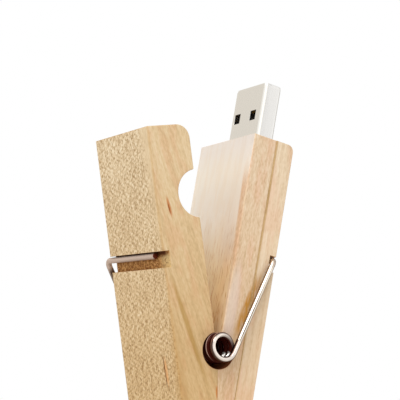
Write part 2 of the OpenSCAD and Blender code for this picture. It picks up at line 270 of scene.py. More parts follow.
def slant_groove(piece, leg):
    """Raise one end of the groove and lower the other, as a crooked saw cut has them."""
    take(piece)
    bpy.ops.object.mode_set(mode="EDIT")
    for end in (-1, 1):

        def at_end(vert):
            """True for a point of this end of the groove."""
            out, y, up = in_leg(leg, vert.co)
            level = abs(up - GROOVE_UP) < GROOVE_HALF_W + GROOVE_RIM
            return level and out > GROOVE_FLOOR - FLOOR_RIM and y * end > 0

        moved = pick(piece, "verts", at_end)
        bpy.ops.transform.translate(value=up_leg(leg) * GROOVE_SLANT[leg] * LEG_HALF_W * end)
        print(piece.name, "groove verts moved:", moved)
    bpy.ops.object.mode_set(mode="OBJECT")


press_handles(clip_leg, HANDLE_PRESS)
slant_groove(clip_leg, "clip_leg")
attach(clip_leg, "clip_leg")
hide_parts("clip_leg")

# %% [markdown]
# ## The two halves of the drive leg
# The other leg was split along its length, hollowed for the drive and glued together again. Its
# seam shows as a thin dark line, because both halves were eased a little before they were
# glued. The slot for the plug keeps crisp edges, so the plug seems to grow out of the wood.

# %% Drive leg halves
SEAM_OUT = 6.12
SEAM_EASE = 0.03
SLOT_EASE = 0.05
SEAM_REACH = 0.2
SLOT_REACH = 8


def drive_ease(place):
    """Easing of an edge of the drive leg."""
    out, y, up = in_leg("drive_leg", place)
    if abs(out - SEAM_OUT) < SEAM_REACH:
        return SEAM_EASE
    if abs(y) < SLOT_REACH:
        return SLOT_EASE
    return leg_ease(out, up)


inner_half = eased_copy("drive_leg_inner_half", "inner_half_wood", drive_ease)
press_handles(inner_half, -HANDLE_PRESS)
outer_half = eased_copy("drive_leg_outer_half", "outer_half_wood", drive_ease)
slant_groove(outer_half, "drive_leg")
for half, node_name, slot_name in (
    (inner_half, "drive_leg_inner_half", "inner_wood"),
    (outer_half, "drive_leg_outer_half", "outer_wood"),
):
    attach(half, "drive_leg")
    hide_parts(node_name)

# %% [markdown]
# ## The spring
# One length of wire makes the hinge: a hook in the back of the clip leg, an arm, fourteen turns
# through both legs, and an arm and a hook again for the drive leg. It could be turned with a
# Screw modifier and extruded at both ends, but then the coil would meet its arms at an angle.
# Here the wire's middle line is worked out point by point, and a round bevel on the curve gives
# it its thickness. The coil comes first: it starts and ends level, where an arm leaves it.

# %% Middle line of the coil
WIRE_R = 0.64
COIL_R = 2.64
COIL_LIFT = 0.6
COIL_Y = 13.3
HOOK_OUT = 9.845
HOOK_UP = 21.8
WHOLE_TURNS = 15
STEPS_PER_TURN = 40
EASE_IN = 0.03

coil_middle = COIL_AXIS + Vector((0, 0, COIL_LIFT * MM))
hook = on_leg("drive_leg", HOOK_OUT, 0, HOOK_UP)
hook_rise = (hook - coil_middle) / MM
coil_end = math.atan2(hook_rise.z, hook_rise.x) - math.acos(COIL_R / hook_rise.length)
coil_turn = 2 * math.pi * WHOLE_TURNS - math.pi + 2 * coil_end
coil_steps = round(coil_turn / (2 * math.pi) * STEPS_PER_TURN)


def along_coil(t):
    """Share of the coil's width at share t of its turn, level at both ends."""
    if t < EASE_IN:
        return t * t / (2 * EASE_IN) / (1 - EASE_IN)
    if t > 1 - EASE_IN:
        return 1 - along_coil(1 - t)
    return (t - EASE_IN / 2) / (1 - EASE_IN)


def coil_point(step):
    """Place of the wire's middle at a step of the coil, from the back to the front."""
    t = step / coil_steps
    turn = math.pi - coil_end + coil_turn * t
    across = COIL_Y - 2 * COIL_Y * along_coil(t)
    return coil_middle + Vector((COIL_R * math.cos(turn), across, COIL_R * math.sin(turn))) * MM


print("coil:", round(coil_turn / (2 * math.pi), 2), "turns in", coil_steps, "steps")

# %% [markdown]
# Each arm runs straight from the end of the coil to its leg's groove and bends round into it as a
# hook, which lies as askew as the groove does. The back arm is the front one turned half round.

# %% Middle line of the arms
FRONT_ARM_Y = 11.875
BACK_ARM_Y = 13.575
HOOK_PAST = 6.7
BEND_R = 1.5
BEND_STEPS = 12

arm_start = COIL_R * Vector((math.cos(coil_end), 0, math.sin(coil_end)))
arm_way = (hook_rise - arm_start).normalized()


def arm_points(arm_y):
    """An arm at the front, from its bend to the cut end of its hook."""
    for i in range(BEND_STEPS + 1):
        turn = math.pi / 2 * i / BEND_STEPS
        inward = Vector((0, BEND_R * (1 - math.cos(turn)) - arm_y, 0))
        yield hook + (BEND_R * (math.sin(turn) - 1) * arm_way + inward) * MM
    yield hook + Vector((0, HOOK_PAST, 0)) * MM


def follow_groove(leg, points):
    """Lift the points of a hook and its bend as the slanted groove lifts them."""
    return [p + up_leg(leg) * GROOVE_SLANT[leg] * p.y / MM for p in points]


front_arm = follow_groove("drive_leg", arm_points(FRONT_ARM_Y))
turned_arm = [Vector((-p.x, -p.y, p.z)) for p in arm_points(BACK_ARM_Y)]
back_arm = follow_groove("clip_leg", reversed(turned_arm))
wire_line = back_arm + [coil_point(i) for i in range(coil_steps + 1)] + front_arm
wire_length = sum((b - a).length for a, b in zip(wire_line, wire_line[1:]))
print("wire:", len(wire_line), "points,", round(wire_length / MM, 1), "mm long")

# %% [markdown]
# The curve becomes a mesh, so that its cut ends can be worked on. Cutters leave a small rounded
# rim, which is an ordinary bevel on the two end edges.

# %% Wire from the line
ROUND_STEPS = 6
CUT_RIM = 0.12
CUT_ANGLE = math.radians(60)

curve = bpy.data.curves.new("wire_line", "CURVE")
curve.dimensions = "3D"
run = curve.splines.new("POLY")
run.points.add(len(wire_line) - 1)
for point, place in zip(run.points, wire_line):
    point.co = (*place, 1)
curve.bevel_depth = WIRE_R * MM
curve.bevel_resolution = ROUND_STEPS
curve.use_fill_caps = True
spring = bpy.data.objects.new("spring_wire", curve)
bpy.context.scene.collection.objects.link(spring)
take(spring)
bpy.ops.object.convert(target="MESH")
spring = bpy.context.object
bpy.ops.object.mode_set(mode="EDIT")
bpy.ops.mesh.select_all(action="SELECT")
bpy.ops.mesh.remove_doubles(threshold=MERGE)
rims = pick(spring, "edges", lambda edge: edge.calc_face_angle(0) > CUT_ANGLE)
bpy.ops.mesh.bevel(offset=CUT_RIM * MM, segments=3)
bpy.ops.mesh.select_all(action="SELECT")
bpy.ops.mesh.normals_make_consistent(inside=False)
bpy.ops.object.mode_set(mode="OBJECT")
show_round(spring, degrees=40)
print("spring:", len(spring.data.polygons), "faces,", rims, "rim edges")

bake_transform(spring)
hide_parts("torsion_spring")

# %% [markdown]
# ## The plug's shell
# The shell is a strip of thin steel folded to a box: rounded along its four long edges, with
# two square windows in each wide face, a butt seam down the back, a tip that turns in a little
# to find its socket, and two tabs that are soldered to the board inside the leg. It is made the
# way the factory makes it, as a sheet without thickness, and Solidify gives it its wall last.

# %% Box of the shell
PLUG_H, PLUG_W, PLUG_L = 4.5, 12, 18.75
PLUG_TIP = 62.6
SHELL_WALL = 0.3
SHELL_CORNER = 0.85
STRAIGHT = 0.9
TOUCH = 0.01
plug_rear = PLUG_TIP - PLUG_L

bpy.ops.object.select_all(action="DESELECT")
bpy.ops.mesh.primitive_cube_add(
    size=1,
    location=Vector((SEAM_OUT, 0, PLUG_TIP - PLUG_L / 2)) * MM,
    scale=Vector((PLUG_H, PLUG_W, PLUG_L)) * MM,
)
shell = bpy.context.object
shell.name = "plug_shell_sheet"
bpy.ops.object.transform_apply()
bpy.ops.object.mode_set(mode="EDIT")


def runs_along(edge):
    """True for an edge that runs along the plug."""
    return abs(edge.verts[0].co.z - edge.verts[1].co.z) > PLUG_L / 2 * MM


pick(shell, "edges", runs_along)
bpy.ops.mesh.bevel(offset=SHELL_CORNER * MM, segments=6)
pick(shell, "faces", lambda face: abs(face.normal.z) > STRAIGHT)
bpy.ops.mesh.delete(type="FACE")
print("shell sides:", len(bmesh.from_edit_mesh(shell.data).faces))

# %% [markdown]
# Cuts with the bisect operator mark out the windows, the tabs, the tip and the slit of the
# seam. What lies inside a window or in the slit is then deleted, as a punch would do.

# %% Windows, seam and tabs
WINDOW_W, WINDOW_L = 2.2, 2.3
WINDOW_PITCH, WINDOW_SHIFT, WINDOW_FROM_TIP = 6.16, 0.5, 7.2
SLIT_HALF = 0.05
TIP_TURN_L, TIP_TURN_IN = 0.7, 0.12
TAB_LOW, TAB_HIGH, TAB_L = 5.77, 7.97, 2.45

window_ys = [WINDOW_SHIFT + side * WINDOW_PITCH / 2 for side in (-1, 1)]
window_up = PLUG_TIP - WINDOW_FROM_TIP


def cut_sheet(axis, at):
    """Cut the faces of the shell by the plane across an axis at a place in millimetres."""
    bpy.ops.mesh.select_all(action="SELECT")
    normal = Vector([float(axis == name) for name in "xyz"])
    bpy.ops.mesh.bisect(plane_co=normal * at * MM, plane_no=normal)


for y in window_ys:
    for side in (-1, 1):
        cut_sheet("y", y + side * WINDOW_W / 2)
for side in (-1, 1):
    cut_sheet("z", window_up + side * WINDOW_L / 2)
    cut_sheet("y", side * SLIT_HALF)
cut_sheet("z", PLUG_TIP - TIP_TURN_L)
for at in (TAB_LOW, TAB_HIGH):
    cut_sheet("x", at)


def punched(face):
    """True for a face in a window of either wide side, or in the slit of the far one."""
    x, y, z = face.calc_center_median() / MM
    if abs(face.normal.x) < STRAIGHT:
        return False
    in_window = abs(z - window_up) < WINDOW_L / 2 and any(
        abs(y - middle) < WINDOW_W / 2 for middle in window_ys
    )
    return in_window or (abs(y) < SLIT_HALF and x > SEAM_OUT)


def at_tab(edge):
    """True for a rear edge of a narrow side, between the cuts for its tab."""
    x, y, z = (edge.verts[0].co + edge.verts[1].co) / 2 / MM
    on_side = abs(y) > PLUG_W / 2 - TOUCH
    return on_side and abs(z - plug_rear) < TOUCH and TAB_LOW < x < TAB_HIGH


print("punched faces:", pick(shell, "faces", punched))
bpy.ops.mesh.delete(type="FACE")
print("tab edges:", pick(shell, "edges", at_tab))
bpy.ops.mesh.extrude_region_move(TRANSFORM_OT_translate={"value": (0, 0, -TAB_L * MM)})
pick(shell, "verts", lambda vert: abs(vert.co.z / MM - PLUG_TIP) < TOUCH)
bpy.ops.transform.resize(
    value=(1 - 2 * TIP_TURN_IN / PLUG_H, 1 - 2 * TIP_TURN_IN / PLUG_W, 1),
    center_override=Vector((SEAM_OUT, 0, PLUG_TIP)) * MM,
)
bpy.ops.object.mode_set(mode="OBJECT")

# %% [markdown]
# The sheet gets its wall inward, its punched edges a small round, and then it leans out with
# the leg. Applying that turn puts the place into the mesh and leaves the object at the origin.

# %% Wall and place of the shell
PUNCHED_ROUND = 0.06 * MM
PUNCHED_ANGLE = math.radians(50)

finish_with(shell, "SOLIDIFY", thickness=SHELL_WALL * MM, offset=-1, use_even_offset=True)
rounding = {"width": PUNCHED_ROUND, "limit_method": "ANGLE", "angle_limit": PUNCHED_ANGLE}
finish_with(shell, "BEVEL", segments=2, **rounding)
shell.location = COIL_AXIS
shell.rotation_euler = (0, LEAN, 0)
take(shell)
bpy.ops.object.transform_apply()
show_round(shell)
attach(shell, "drive_leg")
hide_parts("plug_shell")
print("shell:", len(shell.data.polygons), "faces")

# %% [markdown]
# ## Inside the plug
# A moulded tongue carries four contacts, and both show in the mouth of the plug. Moulded edges
# are never quite sharp, and stamped contacts have a rolled edge, so both pieces get the same
# easing as the wood, only finer.

# %% Tongue and contacts
MOULDED_EASE = 0.1
STAMPED_EASE = 0.06

tongue = eased_copy("plug_insulator", "plug_tongue", lambda place: MOULDED_EASE)
contacts = eased_copy("plug_contacts", "contact_strips", lambda place: STAMPED_EASE)
for piece, node_name, slot_name in (
    (tongue, "plug_insulator", "black_plastic"),
    (contacts, "plug_contacts", "contact_gold"),
):
    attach(piece, "drive_leg")
    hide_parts(node_name)

# %% [markdown]
# ## Tools for finishes
# Colours are written as sRGB hex values, as a paint chart gives them, and one function turns
# them to the linear values that a shader works with. A second one adds a node: its settings by
# name, and its sockets filled with a plain value or with the output of another node.


# %% Helpers for materials
def linear(hex_colour):
    """Linear RGBA of an sRGB hex colour."""
    parts = [int(hex_colour[i : i + 2], 16) / 255 for i in (1, 3, 5)]
    return [c / 12.92 if c <= 0.04045 else ((c + 0.055) / 1.055) ** 2.4 for c in parts] + [1]


def fill(tree, node, sockets):
    """Fill a node's sockets, by name or number, with values, nodes or (node, output)."""
    for key, value in sockets.items():
        named = [s for s in node.inputs if s.enabled and s.name == key]
        socket = node.inputs[key] if isinstance(key, int) else named[0]
        if isinstance(value, bpy.types.Node):
            value = (value, next(s.name for s in value.outputs if s.enabled))
        if isinstance(value, tuple) and isinstance(value[0], bpy.types.Node):
            output = next(s for s in value[0].outputs if s.enabled and s.name == value[1])
            tree.links.new(output, socket)
        else:
            socket.default_value = value


def add_node(tree, kind, sockets, **settings):
    """Add a node, set it up and fill its sockets."""
    made = tree.nodes.new("ShaderNode" + kind)
    for name, value in settings.items():
        setattr(made, name, value)
    fill(tree, made, sockets)
    return made


def new_finish(name):
    """A new material with an empty node tree that ends in a principled shader."""
    material = bpy.data.materials.new(name)
    material.use_nodes = True
    tree = material.node_tree
    tree.nodes.clear()
    shader = add_node(tree, "BsdfPrincipled", {})
    add_node(tree, "OutputMaterial", {"Surface": shader})
    return material, tree, shader


def put_on(finish, *pieces):
    """Give these pieces this material and no other."""
    for piece in pieces:
        piece.data.materials.clear()
        piece.data.materials.append(finish)
    nodes_made = len(finish.node_tree.nodes)
    print(finish.name, "with", nodes_made, "nodes on", [piece.name for piece in pieces])


def set_ramp(ramp, stops):
    """Give a colour ramp these (place, hex colour) stops."""
    while len(ramp.color_ramp.elements) < len(stops):
        ramp.color_ramp.elements.new(0.5)
    for element, (place, hex_colour) in zip(ramp.color_ramp.elements, stops):
        element.position = place
        element.color = linear(hex_colour)


print("helpers: linear, fill, add_node, new_finish, put_on, set_ramp")

# %% [markdown]
# ## Sanded beech
# The legs are beech, planed and sanded and never varnished. Its rings lie across the leg's
# thickness, so a narrow side shows them as long lines. The broad outer face cuts its rays end
# on and shows them as short dark flecks. All of that lives in the leg, so every pattern reads
# the place on the upright leg in millimetres: a Mapping node centres it on the coil, stands it
# upright and turns metres to millimetres.


# %% Wood: place on the leg, and grains
def leg_place(tree, leg):
    """The (out, y, up) of a point, in millimetres."""
    point = add_node(tree, "TexCoord", {})
    side = OUTWARD[leg]
    sockets = {
        "Vector": (point, "Object"),
        "Location": COIL_AXIS,
        "Rotation": (0, side * LEAN, 0),
        "Scale": (side * MM, MM, MM),
    }
    return add_node(tree, "Mapping", sockets, vector_type="TEXTURE")


def grains(tree, place, size, tilt=0, detail=2, shift=(0, 0, 0)):
    """Noise whose grains are this size, in millimetres along out, y and up, and lean by tilt."""
    sockets = {
        "Vector": place,
        "Location": shift,
        "Rotation": (0, math.radians(tilt), 0),
        "Scale": size,
    }
    steps = add_node(tree, "Mapping", sockets, vector_type="TEXTURE")
    return add_node(tree, "TexNoise", {"Vector": steps, "Scale": 1, "Detail": detail})


def looks_along(tree, leg, out, up):
    """How far a face looks along a way of the upright leg: 1 straight along it, 0 across it."""
    point = add_node(tree, "TexCoord", {})
    way = (on_leg(leg, out, 0, up) - COIL_AXIS).normalized()
    facing = {0: (point, "Normal"), 1: way}
    return add_node(tree, "VectorMath", facing, operation="DOT_PRODUCT"), "Value"


print("helpers: leg_place, grains, looks_along")

# %% [markdown]
# Most of what makes wood look used is a change of colour somewhere: a streak, a scorched bore,
# dirt along a seam. One helper lays such a stain. It takes any number of limits, each a measured
# value with the two amounts between which the stain grows in, and the stain shows where all of
# them are passed. A streak is a stain inside a long ellipsoid.


# %% Wood: stains and streaks
def passed(tree, limits, most=1):
    """A share that grows to its most where every limit, (value, start, end), is passed."""
    share = None
    for value, start, end in limits:
        sockets = {"Value": value, "From Min": start, "From Max": end, "To Max": most}
        grown = add_node(tree, "MapRange", sockets, interpolation_type="SMOOTHSTEP")
        if share:
            grown = add_node(tree, "Math", {0: share, 1: grown}, operation="MULTIPLY")
        share, most = grown, 1
    return share


def stain(tree, colour, hex_colour, *limits, most=1, how="MIX"):
    """Lay a colour over another where all limits are passed."""
    sockets = {"Factor": passed(tree, limits, most), "A": colour, "B": linear(hex_colour)}
    return add_node(tree, "Mix", sockets, data_type="RGBA", blend_type=how)


def inside(tree, place, middle, half_size, lean=(0, 0, 0)):
    """The limit of a soft ellipsoid at a place on the leg, in millimetres."""
    sockets = {
        "Vector": place,
        "Location": middle,
        "Rotation": [math.radians(turn) for turn in lean],
        "Scale": half_size,
    }
    from_middle = add_node(tree, "Mapping", sockets, vector_type="TEXTURE")
    depth = add_node(tree, "TexGradient", {"Vector": from_middle}, gradient_type="SPHERICAL")
    return (depth, "Fac"), 0, 0.6


def streak(tree, place, colour, middle, half_size, lean, strength, hex_colour, patchy=0):
    """A soft streak of another colour inside an ellipsoid, broken up the more it is patchy."""
    within = inside(tree, place, middle, half_size, lean)
    patches = (grains(tree, place, (0.4, 2, 2.5)), patchy, patchy + 0.4)
    return stain(tree, colour, hex_colour, within, patches, most=strength)


print("helpers: passed, stain, inside, streak")

# %% [markdown]
# Tools leave wood of another colour. The saw tore the floor of the groove, which is brown and
# blotchy and paler at its front end. The groove also gets painted shade, darkest as a painted
# shadow under its upper side, and the bed of the coil is painted dark as the shade in it. These
# cuts have a known place on the leg, so the stains follow their exact sizes.


# %% Wood: cuts
def from_axis(tree, parts):
    """Distance from the coil's axis, in millimetres."""
    flat = add_node(tree, "CombineXYZ", {"X": (parts, "X"), "Z": (parts, "Z")})
    return add_node(tree, "VectorMath", {0: flat}, operation="LENGTH"), "Value"


def cut_wood_and_shade(tree, place, parts, colour, slant=0):
    """Brown sawn wood with painted shade in the wire groove, and painted shade in the coil's bed."""
    level = {0: (parts, "Y"), 1: -slant, 2: (parts, "Z")}
    level = add_node(tree, "Math", level, operation="MULTIPLY_ADD")
    off_groove = add_node(tree, "Math", {0: level, 1: GROOVE_UP}, operation="SUBTRACT")
    off_groove = add_node(tree, "Math", {0: off_groove}, operation="ABSOLUTE")
    in_groove = (
        ((parts, "X"), GROOVE_FLOOR - 0.12, GROOVE_FLOOR - 0.02),
        (off_groove, GROOVE_HALF_W + 0.06, GROOVE_HALF_W + 0.02),
    )
    # Painted shade over the whole groove.
    colour = stain(tree, colour, "#eccb9c", *in_groove, how="MULTIPLY")
    torn = grains(tree, place, (0.9, 0.8, 0.5))
    colour = stain(tree, colour, "#7d4a20", *in_groove, (torn, 0.4, 0.62), most=0.8)
    front_end = (((parts, "Y"), -6.2, -9.5), (level, GROOVE_UP + 1.6, GROOVE_UP + 0.4))
    colour = stain(tree, colour, "#d8bb86", *in_groove, *front_end, (torn, 0.7, 0.56), most=0.85)
    # Painted shadow under the groove's upper side.
    roof_shadow = ((level, GROOVE_UP + 0.2, GROOVE_UP + 1.4), ((parts, "Y"), -10.6, -9))
    colour = stain(tree, colour, "#5c3016", *in_groove, *roof_shadow)
    # Painted shade in the bed of the coil.
    bed_shade = (from_axis(tree, parts), BED_R + 0.14, BED_R + 0.02)
    return stain(tree, colour, "#a05c36", bed_shade)


print("helpers: from_axis, cut_wood_and_shade")

# %% [markdown]
# One function builds the wood of a leg from coarse to fine: broad drifts of tone, ring lines
# along the leg, fine fibres, open pores, and the ray flecks that show on the broad outer face
# and fade towards its front edge, where the rings curve away. A fleck is a shallow dent with a
# raised side that catches the light, so its pattern is laid again, a millimetre over, with light
# and dark exchanged: painted light on the raised side and painted shade in the dent. The darkest
# rays are open pits, painted darker as the shade in them. Fibres, pores and flecks are drawn a
# little coarser than real ones, or they would be too fine to show. The sum runs through a ramp
# from dark to light. Sanding dust gives the outer face a pale bloom, and its eased edges get
# painted shade, so that they don't show as a bright line. Elsewhere the wood is rosier in places,
# its end grain is darker, and down the leg it gets painted shade, darker and warmer.

# %% Wood: the whole finish
FLECK = (2.5, 0.44, 0.58)
OPEN_RAY = (2.5, 0.36, 0.62)
PAINTED_RELIEF_SHIFT = 1.05
OPEN_RAY_SHADE = 0.38
FLECK_EDGE_LEAN = 0.1


def sanded_beech(name, leg, tones, tilt, gains, low_shade, shift):
    """Beech for one leg. Gains are those of the drifts, rings, fibres, pores and flecks."""
    material, tree, shader = new_finish(name)
    place = leg_place(tree, leg)
    parts = add_node(tree, "SeparateXYZ", {"Vector": place})
    drift_gain, ring_gain, fibre_gain, pore_gain, fleck_gain = gains
    looks_out = looks_along(tree, leg, 1, 0)
    edge = {0: (parts, "Z"), 1: -FLECK_EDGE_LEAN, 2: (parts, "Y")}
    edge = add_node(tree, "Math", edge, operation="MULTIPLY_ADD")
    outer_face = (looks_out, 0.1, 0.95), (edge, -15, -10.5)
    # Painted light and shade of each fleck's relief: the fleck pattern again, shifted, with its sign
    # turned.
    beside = (shift[0], shift[1] - PAINTED_RELIEF_SHIFT, shift[2])
    total = 0.5
    for size, detail, gain, at in (
        ((3.5, 5, 28), 2, drift_gain, shift),
        ((0.75, 9, 55), 3, ring_gain, shift),
        ((0.27, 0.27, 3.2), 2, fibre_gain, shift),
        ((0.32, 0.32, 0.95), 1, pore_gain, shift),
        (FLECK, 1, passed(tree, outer_face, fleck_gain), shift),
        (FLECK, 1, passed(tree, outer_face, -fleck_gain), beside),
    ):
        pattern = grains(tree, place, size, tilt, detail, at)
        pattern = add_node(tree, "Math", {0: pattern, 1: 0.5}, operation="SUBTRACT")
        total = add_node(tree, "Math", {0: pattern, 1: gain, 2: total}, operation="MULTIPLY_ADD")
    # Painted shade in the open pits of the darkest rays.
    rays = grains(tree, place, OPEN_RAY, 0, 1, [step + 20 for step in shift])
    open_ray_shade = passed(tree, (*outer_face, (rays, 0.55, 0.7)), OPEN_RAY_SHADE * fleck_gain)
    total = add_node(tree, "Math", {0: total, 1: open_ray_shade}, operation="SUBTRACT")
    dark, middle, light = tones
    colour = add_node(tree, "ValToRGB", {"Fac": total})
    set_ramp(colour, ((0.1, dark), (0.5, middle), (0.9, light)))
    colour = stain(tree, colour, "#f2e6d0", (looks_out, 0.1, 0.95), most=0.12)
    # Painted shade on the eased edges of the outer face, which would otherwise catch a bright line
    # of light.
    eased_edge_shade = (looks_out, 0.1, 0.4), (looks_out, 0.995, 0.9)
    colour = stain(tree, colour, "#efe8dd", *eased_edge_shade, how="MULTIPLY")
    rosy = grains(tree, place, (2.5, 3, 9), tilt, 2, [step + 40 for step in shift])
    rosy_part = (rosy, 0.45, 0.65), (looks_out, 0.9, 0.3)
    colour = stain(tree, colour, "#fdf3f0", *rosy_part, how="MULTIPLY")
    end_grain = add_node(tree, "Math", {0: looks_along(tree, leg, 0, 1)}, operation="ABSOLUTE")
    colour = stain(tree, colour, "#dccbb2", (end_grain, 0.6, 0.95), how="MULTIPLY")
    # Painted shade: darker and warmer down the leg.
    colour = stain(tree, colour, low_shade, ((parts, "Z"), LEG_TOP, -12), how="MULTIPLY")
    return material, tree, shader, place, parts, total, colour


def close_wood(tree, shader, total, colour):
    """Link the wood's colour, and give it a dull, slightly open surface."""
    rough = add_node(tree, "MapRange", {"Value": total, "To Min": 0.7, "To Max": 0.55})
    bump = add_node(tree, "Bump", {"Height": total, "Strength": 0.2, "Distance": 0.05 * MM})
    fill(tree, shader, {"Base Color": colour, "Roughness": rough, "Normal": bump})
    fill(tree, shader, {"IOR": 1.5, "Specular IOR Level": 0.1})


print("helpers: sanded_beech, close_wood")

# %% [markdown]
# The clip leg is the liveliest board. Its ray flecks were left open by coarse sanding, and it
# has a few darker streaks: a spindle near the notch, a long slanting one beside the coil and a
# small one under it, a broad faint one down the front edge, and a split on the outer face with a
# light lip. A texture painted by hand could hold them, but a short table of ellipsoids stays
# sharp at any size. Each row gives a streak's middle and half size in millimetres, its lean in
# degrees, its strength and its colour.

# %% Clip leg's wood
# Beech that was sanded coarsely: dull and warm, with a speckled outer face.
clip_wood, tree, shader, place, parts, total, colour = sanded_beech(
    "sanded_beech_speckled",
    "clip_leg",
    ("#a07c4c", "#dbc097", "#f4e5c8"),
    tilt=11,
    gains=(0.15, 0.3, 0.2, 0.3, 1),
    low_shade="#f0e4d0",
    shift=(0, 0, 0),
)
CLIP_STREAKS = (
    ((7.6, -11, 31.3), (0.5, 2, 2.9), (0, 9, 0), 0.85, "#c27a42"),
    ((7.7, -11, 31), (0.2, 2, 1.6), (0, 9, 0), 0.9, "#8f4a20"),
    ((6.6, -11, 5.2), (0.85, 2, 15), (0, 13, 0), 0.65, "#b18a48"),
    ((11, -11, -9), (3, 2.5, 26), (0, 0, 0), 0.4, "#bf9760"),
    ((1.7, -11, -8.6), (0.3, 2, 1.8), (0, -9, 0), 0.9, "#c4793a"),
    ((10.6, -5.9, -2.9), (2, 0.3, 4.8), (-3, 0, 0), 1, "#7a4c1e"),
    ((10.6, -6.5, -3), (2, 0.6, 4), (-3, 0, 0), 0.7, "#e3a76e"),
)
for one in CLIP_STREAKS:
    colour = streak(tree, place, colour, *one)
colour = cut_wood_and_shade(tree, place, parts, colour, GROOVE_SLANT["clip_leg"])
close_wood(tree, shader, total, colour)
put_on(clip_wood, clip_leg)

# %% [markdown]
# The two halves of the drive leg come from two boards, so each has a tone of its own. They were
# glued before they were sanded, so the same streaks run over both, and the glue of the seam has
# crept a little way into the wood on either side. The streaks have the same kind of table as
# those of the clip leg. The first row is no streak but the shadow of the spring's arm, painted on
# the wood next to it, and it is patchy.

# %% Drive leg's wood: the inner half
DRIVE_STREAKS_AND_ARM_SHADOW = (
    # Painted shadow of the spring's arm, warm and patchy.
    ((5.5, -11, 11.2), (1.5, 2, 10), (0, 14, 0), 1, "#c98f42", 0.18),
    ((6.12, -11, 36), (0.3, 2, 6), (0, 0, 0), 0.8, "#6b4f2c"),
    ((1.6, -11, 10), (1.9, 2, 13), (0, 0, 0), 0.55, "#e0cec2"),
)


def creep_glue(tree, parts, colour):
    """Ochre wood along the seam, where glue has crept into the grain."""
    off_seam = add_node(tree, "Math", {0: (parts, "X"), 1: SEAM_OUT}, operation="SUBTRACT")
    off_seam = add_node(tree, "Math", {0: off_seam}, operation="ABSOLUTE")
    return stain(tree, colour, "#b08a52", (off_seam, 0.5, 0.1), ((parts, "Z"), -20, 20), most=0.6)


# A pale, even board of beech: dull, faintly rosy, with fine fibres and hardly a fleck.
inner_wood, tree, shader, place, parts, total, colour = sanded_beech(
    "sanded_beech_pale",
    "drive_leg",
    ("#b08c60", "#dfc5a5", "#f2e4d1"),
    tilt=0,
    gains=(0.25, 0.3, 0.35, 0.5, 0),
    low_shade="#f9efe3",
    shift=(31, 7, 3),
)
for one in DRIVE_STREAKS_AND_ARM_SHADOW:
    colour = streak(tree, place, colour, *one)
print("bare wood of the inner half:", len(tree.nodes), "nodes")

# %% [markdown]
# The jaw face of the inner half lies deep between the legs, and light and shade are painted on
# it. It could be a second material on that face, but then its edge would be hard, so stains are
# laid on it one by one: painted shade, honey brown, towards the coil, where dark fibres run too,
# painted light, nearly white, above, and painted light and shade across it that even out the
# shade of the clip leg, a little browner at its front. Along its front edge is a strip where the
# painted light and shade stop and the bare wood shows. A table holds the stains. Each row gives a
# colour, the way it is laid, its strength and the places, across the leg (Y) or up it (Z) in
# millimetres, between which it grows in.

# %% Drive leg's wood: the jaw face
ABOVE_HANDLE = ("Z", -8, -2)
# Painted light and shade on the jaw face, stain by stain.
JAW_LIGHT_AND_SHADE = (
    ("#fce1ad", "MIX", 1, ("Z", 29, 7), ABOVE_HANDLE),
    ("#fff0cc", "MIX", 1, ("Y", -8, -2), ("Z", 6, 13)),
    ("#f0eff8", "MULTIPLY", 1, ("Y", -6, -9.5), ("Z", 19, 14), ABOVE_HANDLE),
    ("#f3ebe5", "MULTIPLY", 1, ("Y", -5, -8.5), ("Z", 13, 8), ABOVE_HANDLE),
    ("#fcf8f1", "MIX", 0.92, ("Z", 15, 32)),
    ("#f4f1ec", "MULTIPLY", 1, ("Z", 28, 46)),
    ("#f0eff4", "MULTIPLY", 1, ("Z", 40, 49)),
    ("#f1ebe4", "MULTIPLY", 1, ("Y", 1, -8), ("Z", 16, 28), ("Z", 48, 30)),
)
BARE_STRIP_LEAN = 0.054

bare = colour
on_jaw_face = (looks_along(tree, "drive_leg", -1, 0), 0.9, 0.99)
for hex_colour, how, most, *limits in JAW_LIGHT_AND_SHADE:
    limits = [((parts, axis), start, end) for axis, start, end in limits]
    colour = stain(tree, colour, hex_colour, on_jaw_face, *limits, most=most, how=how)
plane_marks = grains(tree, place, (2, 1.2, 7), 0, 2, (5, 5, 5))
colour = stain(tree, colour, "#fdfaf6", on_jaw_face, (plane_marks, 0.4, 0.65), how="MULTIPLY")
fibres = (grains(tree, place, (2, 0.3, 3), 0, 2, (9, 9, 9)), 0.5, 0.75), ((parts, "Z"), 36, 14)
colour = stain(tree, colour, "#d3b08a", on_jaw_face, *fibres, how="MULTIPLY")
# Along the front edge the painted light and shade stop, and the bare wood shows.
strip = {0: (parts, "Z"), 1: -BARE_STRIP_LEAN, 2: (parts, "Y")}
strip = add_node(tree, "Math", strip, operation="MULTIPLY_ADD")
bare_strip = ((strip, -10.6, -11.3), ((parts, "Z"), 43, 36), ((parts, "Z"), 5, 12))
bare_strip = passed(tree, (on_jaw_face, *bare_strip))
colour = add_node(tree, "Mix", {"Factor": bare_strip, "A": colour, "B": bare}, data_type="RGBA")
colour = creep_glue(tree, parts, colour)
colour = cut_wood_and_shade(tree, place, parts, colour)
close_wood(tree, shader, total, colour)
put_on(inner_wood, inner_half)

# %% [markdown]
# The outer half only has to differ a little from the inner one, as two boards do. So the same
# function makes it, with lighter tones, a few flecks on its broad face and another part of the
# noise, because two boards with the same lines would look like one.

# %% Drive leg's wood: the outer half
# A lighter board of the same beech: dull, with its rings a little plainer to see.
outer_wood, tree, shader, place, parts, total, colour = sanded_beech(
    "sanded_beech_light",
    "drive_leg",
    ("#b89668", "#e5cfb1", "#f6ead9"),
    tilt=0,
    gains=(0.25, 0.4, 0.3, 0.3, 0.5),
    low_shade="#f9efe3",
    shift=(57, 19, 11),
)
for one in DRIVE_STREAKS_AND_ARM_SHADOW:
    colour = streak(tree, place, colour, *one)
colour = creep_glue(tree, parts, colour)
colour = cut_wood_and_shade(tree, place, parts, colour, GROOVE_SLANT["drive_leg"])
close_wood(tree, shader, total, colour)
put_on(outer_wood, outer_half)
